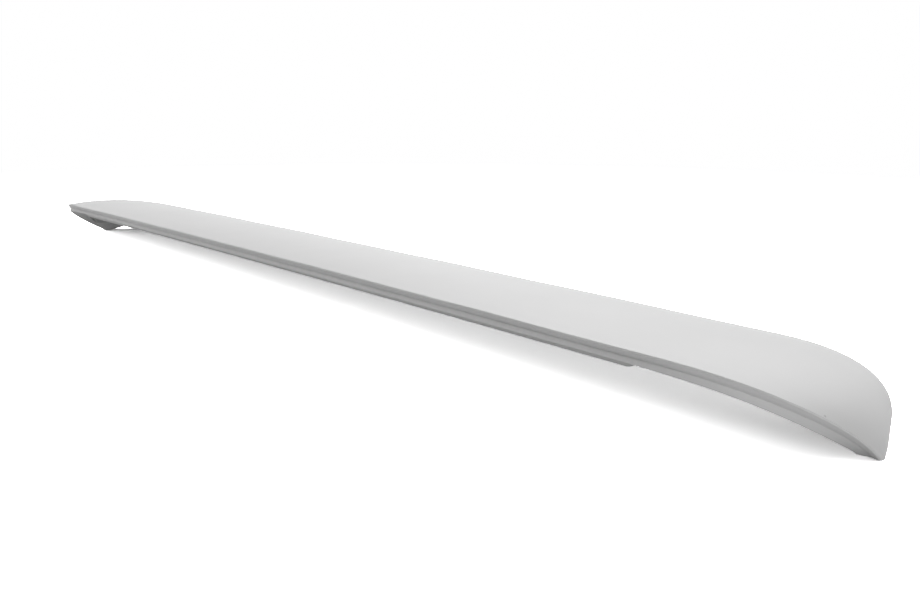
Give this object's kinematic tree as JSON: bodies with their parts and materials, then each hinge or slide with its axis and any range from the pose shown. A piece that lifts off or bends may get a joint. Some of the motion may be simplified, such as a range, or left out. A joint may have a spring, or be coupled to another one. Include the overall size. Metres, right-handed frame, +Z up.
{
  "type": "roof spoiler",
  "caption": "Slim roof spoiler blade with rolled-down ends, a coved trailing edge and a hollow underside, bonded across the rear of a car roof.",
  "frame": {"origin": "middle of the width and of the depth, at the height of the floor that the two feet stand on", "axes": "+X along the blade, across the car; +Y from the trailing edge to the leading edge, towards the front of the car; +Z up"},
  "size_m": [1.1008, 0.1385, 0.0516],
  "materials": {
    "grey_primer": "smooth satin grey primer, ready for paint"
  },
  "bodies": {
    "root": {"spoiler_blade": "grey_primer"}
  },
  "joints": []
}
